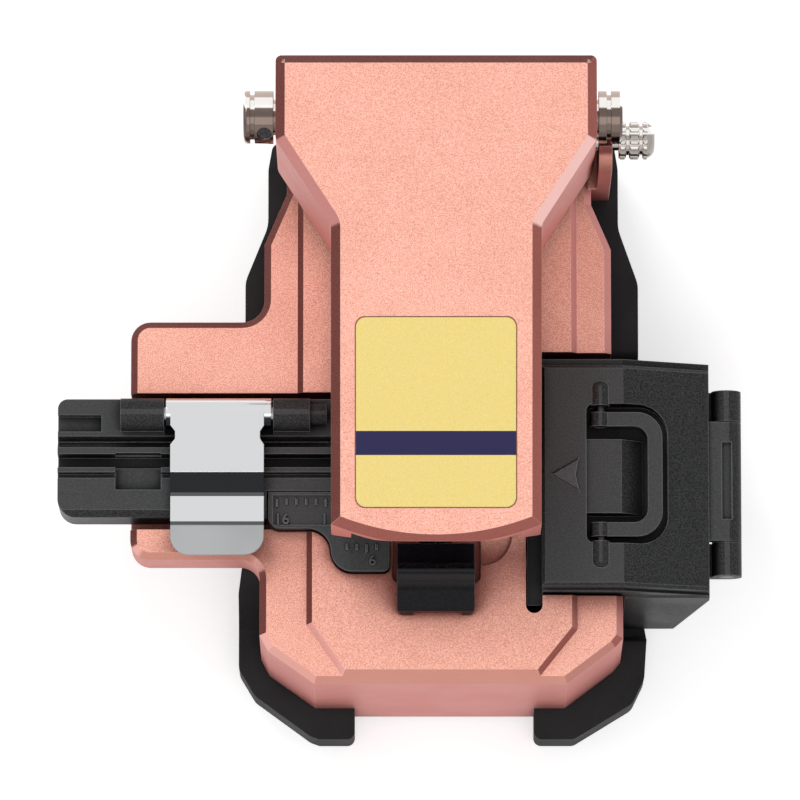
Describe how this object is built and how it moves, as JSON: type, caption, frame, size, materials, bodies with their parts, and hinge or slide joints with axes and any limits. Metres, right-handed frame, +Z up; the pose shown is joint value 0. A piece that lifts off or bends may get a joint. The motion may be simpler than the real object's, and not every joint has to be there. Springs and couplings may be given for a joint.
{
  "type": "fibre cleaver",
  "caption": "Hand-held optical fibre cleaver with a hinged lever, sliding blade carriage, fibre adapter with clip and scrap bin.",
  "frame": {"origin": "middle of the outline on the table, under the rubber boots", "axes": "+X right along the fibre, +Y to the lever's hinge, +Z up; the user sits at -Y"},
  "size_m": [0.07, 0.0652, 0.041],
  "materials": {
    "rose_aluminium": "bead-blasted, rose-gold anodised, bright-cut dark chamfers",
    "plain_aluminium": "fine milled",
    "black_plastic": "fine moulded texture, satin",
    "gloss_black": "polished",
    "rubber": "soft matt",
    "grey_pad": "fine ground",
    "nickel_steel": "turned, nickel plated",
    "spring_steel": "mirror polished",
    "carbide": "ground",
    "screw_steel": "blackened",
    "label_film": "grained yellow film with a navy band"
  },
  "bodies": {
    "base": {"base_body": "rose_aluminium", "bottom_plate": "plain_aluminium", "bottom_screws": "screw_steel", "boot_left": "rubber", "boot_right": "rubber", "guide_rail": "nickel_steel", "rail_screws": "screw_steel", "clamp_blocks": "nickel_steel", "clamp_block_screws": "screw_steel", "lower_clamp_pads": "grey_pad", "stop_pads": "rubber", "hinge_shaft": "nickel_steel", "hinge_collar": "nickel_steel", "collar_set_screw": "screw_steel", "hinge_washers": "nickel_steel", "adapter": "black_plastic", "adapter_screws": "screw_steel", "clip_magnet": "nickel_steel", "clip_pin": "nickel_steel", "scale_plate": "black_plastic", "bin_box": "black_plastic", "bin_screws": "screw_steel", "lid_hinge_pin": "nickel_steel"},
    "carriage": {"carriage": "plain_aluminium", "carriage_knob": "gloss_black", "knob_screw": "screw_steel", "blade_bracket": "plain_aluminium", "bracket_screws": "screw_steel", "blade_screw": "screw_steel", "height_screw": "screw_steel"},
    "blade": {"blade_wheel": "carbide"},
    "lever": {"lever_body": "rose_aluminium", "label_plate": "label_film", "clamp_arm": "plain_aluminium", "arm_screws": "screw_steel", "anvil_holder": "plain_aluminium", "anvil": "grey_pad"},
    "clamp_carrier": {"clamp_carrier": "plain_aluminium", "upper_clamp_pads": "grey_pad", "clamp_springs": "nickel_steel"},
    "lock_pin": {"lock_pin": "nickel_steel"},
    "clip": {"fibre_clip": "spring_steel", "clip_pad": "grey_pad"},
    "lid": {"bin_lid": "black_plastic", "handle_pins": "nickel_steel"},
    "handle": {"bin_handle": "black_plastic"}
  },
  "joints": [
    {"name": "lever_hinge", "type": "hinge", "parent": "base", "child": "lever", "pos_m": [0.00365, 0.0276, 0.033], "axis": [-1, 0, 0], "range_deg": [0, 60]},
    {"name": "carriage_slide", "type": "slide", "parent": "base", "child": "carriage", "axis": [0, 1, 0], "range_m": [0, 0.0105]},
    {"name": "blade_turn", "type": "hinge", "parent": "carriage", "child": "blade", "pos_m": [0.00365, -0.0091, 0.01465], "axis": [1, 0, 0], "continuous": true},
    {"name": "clamp_float", "type": "slide", "parent": "lever", "child": "clamp_carrier", "axis": [0, 0, 1], "range_m": [0, 0.0008], "stiffness_N_per_m": 1200, "springref_m": -0.001, "deforming": ["clamp_springs"]},
    {"name": "lock_pull", "type": "slide", "parent": "base", "child": "lock_pin", "axis": [1, 0, 0], "range_m": [0, 0.002]},
    {"name": "clip_hinge", "type": "hinge", "parent": "base", "child": "clip", "pos_m": [-0.01865, -0.0012, 0.0224], "axis": [-1, 0, 0], "range_deg": [0, 100]},
    {"name": "bin_lid_hinge", "type": "hinge", "parent": "base", "child": "lid", "pos_m": [0.03347, -0.0077, 0.018], "axis": [0, 1, 0], "range_deg": [0, 110]},
    {"name": "handle_hinge", "type": "hinge", "parent": "lid", "child": "handle", "pos_m": [0.02044, -0.0076, 0.0226], "axis": [0, -1, 0], "range_deg": [0, 90]}
  ]
}
